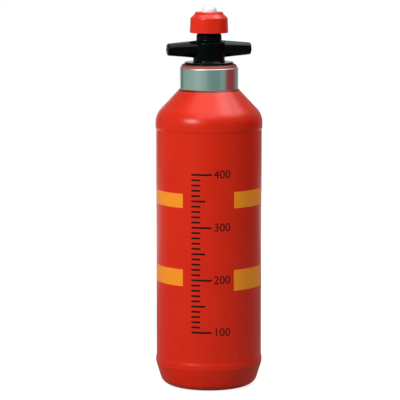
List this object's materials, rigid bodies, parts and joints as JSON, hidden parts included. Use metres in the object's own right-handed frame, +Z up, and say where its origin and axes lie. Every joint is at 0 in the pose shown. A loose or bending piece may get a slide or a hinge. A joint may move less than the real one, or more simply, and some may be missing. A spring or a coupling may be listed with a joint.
{
  "type": "camping fuel bottle",
  "caption": "Tall round plastic fuel bottle with a conical shoulder and metal neck band, and a screw-in pouring valve with side spouts, a push button and a locking knob.",
  "frame": {"origin": "on the bottle's axis, in the plane that its foot ring stands on", "axes": "+Z up along the axis; the two spout arms lie along X, the pouring bore at +X"},
  "size_m": [0.0666, 0.0664, 0.2364],
  "materials": {
    "shell_red": "semi-gloss blow-moulded polyethylene",
    "band_metal": "satin",
    "valve_black": "gloss",
    "knob_red": "gloss",
    "stem_white": "satin acetal",
    "bush_natural": "matte",
    "seal_rubber": "matte",
    "steel_bright": "bright drawn stainless"
  },
  "bodies": {
    "bottle": {"bottle_shell": "shell_red", "neck_band": "band_metal"},
    "gasket_ring": {"cap_gasket": "seal_rubber"},
    "valve_cap": {"valve_body": "valve_black", "stem_o_ring": "seal_rubber", "guide_bush": "bush_natural", "return_spring": "steel_bright"},
    "stem": {"valve_stem": "stem_white", "seal_disc": "seal_rubber", "seal_plate": "steel_bright", "seal_screw": "steel_bright"},
    "knob_slide": {"spring_washer": "steel_bright"},
    "knob": {"lock_knob": "knob_red"}
  },
  "joints": [
    {"name": "cap_lift", "type": "slide", "parent": "bottle", "child": "gasket_ring", "axis": [0, 0, 1], "range_m": [0, 0.025]},
    {"name": "cap_turn", "type": "hinge", "parent": "gasket_ring", "child": "valve_cap", "pos_m": [0, 0, 0.20093], "axis": [0, 0, 1], "range_deg": [0, 1800]},
    {"name": "stem_press", "type": "slide", "parent": "valve_cap", "child": "stem", "axis": [0, 0, -1], "range_m": [0, 0.002], "stiffness_N_per_m": 800, "springref_m": -0.00025, "deforming": ["return_spring"]},
    {"name": "knob_rise", "type": "slide", "parent": "stem", "child": "knob_slide", "axis": [0, 0, 1], "range_m": [-0.002, 0]},
    {"name": "knob_turn", "type": "hinge", "parent": "knob_slide", "child": "knob", "pos_m": [0, 0, 0.2269], "axis": [0, 0, 1], "range_deg": [-180, 0]}
  ],
  "couplings": [
    {"joint": "cap_turn", "follows": "cap_lift", "rad_per_m": 1256.6},
    {"joint": "knob_turn", "follows": "knob_rise", "rad_per_m": 1570.8}
  ]
}
